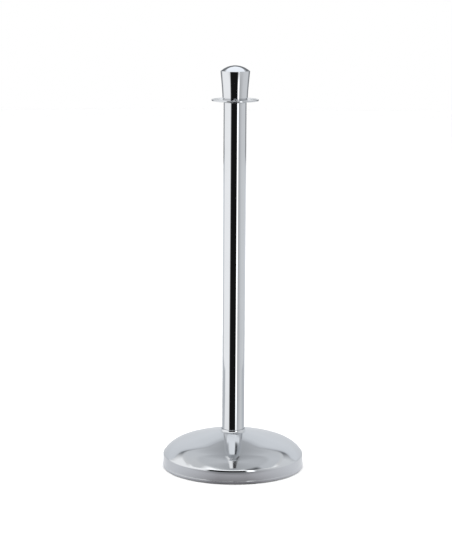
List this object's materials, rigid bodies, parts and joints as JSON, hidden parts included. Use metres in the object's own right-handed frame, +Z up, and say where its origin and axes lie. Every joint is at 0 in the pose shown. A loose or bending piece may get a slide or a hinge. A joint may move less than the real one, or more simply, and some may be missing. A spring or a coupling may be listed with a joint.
{
  "type": "rope stanchion",
  "caption": "Free-standing barrier post with a domed weighted base, straight tube, flat rope ring with hook holes and a flared crown.",
  "frame": {"origin": "middle of the base, on the floor", "axes": "+Z up along the post; +X and +Y each pass through the middle of a hook hole; the picture looks along +Y"},
  "size_m": [0.32, 0.32, 0.915],
  "materials": {
    "chrome": "polished chrome plate",
    "cast_iron": "as cast, painted dark",
    "zinc_plated_steel": "bright zinc plate",
    "nylon": "natural nylon",
    "black_rubber": "moulded, dull"
  },
  "bodies": {
    "base": {"floor_pad": "black_rubber", "base_weight": "cast_iron", "base_cover": "chrome", "pad_screw_1": "zinc_plated_steel", "pad_screw_2": "zinc_plated_steel", "pad_screw_3": "zinc_plated_steel", "pad_screw_4": "zinc_plated_steel", "post_bolt": "zinc_plated_steel", "bolt_lock_washer": "zinc_plated_steel", "bolt_washer": "zinc_plated_steel", "jam_nut": "zinc_plated_steel"},
    "post_seat": {"post_washer": "nylon"},
    "post": {"post_tube": "chrome", "foot_plug": "zinc_plated_steel", "head_plug": "zinc_plated_steel", "ring_washer": "nylon"},
    "rope_ring": {"rope_ring": "chrome"},
    "crown_seat": {"crown_washer": "nylon"},
    "crown": {"crown_insert": "zinc_plated_steel", "crown_stud": "zinc_plated_steel", "crown_nut": "zinc_plated_steel", "crown_shell": "chrome"}
  },
  "joints": [
    {"name": "post_rise", "type": "slide", "parent": "base", "child": "post_seat", "axis": [0, 0, 1], "range_m": [0, 0.0176]},
    {"name": "post_turn", "type": "hinge", "parent": "post_seat", "child": "post", "pos_m": [0, 0, 0.0466], "axis": [0, 0, 1], "range_deg": [0, 3600]},
    {"name": "ring_turn", "type": "hinge", "parent": "post", "child": "rope_ring", "pos_m": [0, 0, 0.83845], "axis": [0, 0, 1], "continuous": true},
    {"name": "crown_rise", "type": "slide", "parent": "post", "child": "crown_seat", "axis": [0, 0, 1], "range_m": [0, 0.0106]},
    {"name": "crown_turn", "type": "hinge", "parent": "crown_seat", "child": "crown", "pos_m": [0, 0, 0.8416], "axis": [0, 0, 1], "range_deg": [0, 2520]}
  ],
  "couplings": [
    {"joint": "post_rise", "follows": "post_turn", "m_per_rad": 0.00027852},
    {"joint": "crown_rise", "follows": "crown_turn", "m_per_rad": 0.00023873}
  ]
}
